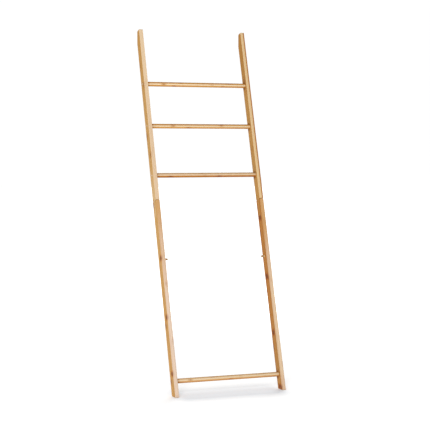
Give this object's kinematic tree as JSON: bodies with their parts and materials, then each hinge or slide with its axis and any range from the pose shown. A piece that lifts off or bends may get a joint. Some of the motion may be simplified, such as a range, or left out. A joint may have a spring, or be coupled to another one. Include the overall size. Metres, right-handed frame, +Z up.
{
  "type": "leaning ladder rack",
  "caption": "Leaning bamboo ladder rack with rectangular rails, round rungs for towels, small hanging pegs, level feet and upright wall flats.",
  "frame": {"origin": "on the floor, under the middle of the leaning ladder's bounding box", "axes": "+Z up, +X to the right along the rungs seen from the front, +Y back from the user to the wall that the ladder leans on"},
  "size_m": [0.55, 0.5478, 1.706],
  "materials": {
    "upper_rail_bamboo": "laminated bamboo, pale, satin lacquer, brown nodes",
    "lower_rail_bamboo": "laminated bamboo, warmer, satin lacquer, brown nodes",
    "rung_bamboo": "turned laminated bamboo, satin lacquer",
    "peg_bamboo": "turned bamboo, oiled",
    "zinc_steel": "zinc plated",
    "pad_rubber": "matt, translucent grey"
  },
  "bodies": {
    "root": {"left_lower_rail": "lower_rail_bamboo", "right_lower_rail": "lower_rail_bamboo", "left_upper_rail": "upper_rail_bamboo", "right_upper_rail": "upper_rail_bamboo", "top_rung": "rung_bamboo", "second_rung": "rung_bamboo", "third_rung": "rung_bamboo", "bottom_rung": "rung_bamboo", "left_peg": "peg_bamboo", "right_peg": "peg_bamboo", "top_rung_left_screw": "zinc_steel", "top_rung_right_screw": "zinc_steel", "second_rung_left_screw": "zinc_steel", "second_rung_right_screw": "zinc_steel", "third_rung_left_screw": "zinc_steel", "third_rung_right_screw": "zinc_steel", "bottom_rung_left_screw": "zinc_steel", "bottom_rung_right_screw": "zinc_steel", "bottom_rung_left_plug": "peg_bamboo", "bottom_rung_right_plug": "peg_bamboo", "left_joint_high_screw": "zinc_steel", "right_joint_high_screw": "zinc_steel", "left_joint_low_screw": "zinc_steel", "right_joint_low_screw": "zinc_steel", "left_foot_pad": "pad_rubber", "right_foot_pad": "pad_rubber", "left_wall_pad": "pad_rubber", "right_wall_pad": "pad_rubber"}
  },
  "joints": []
}
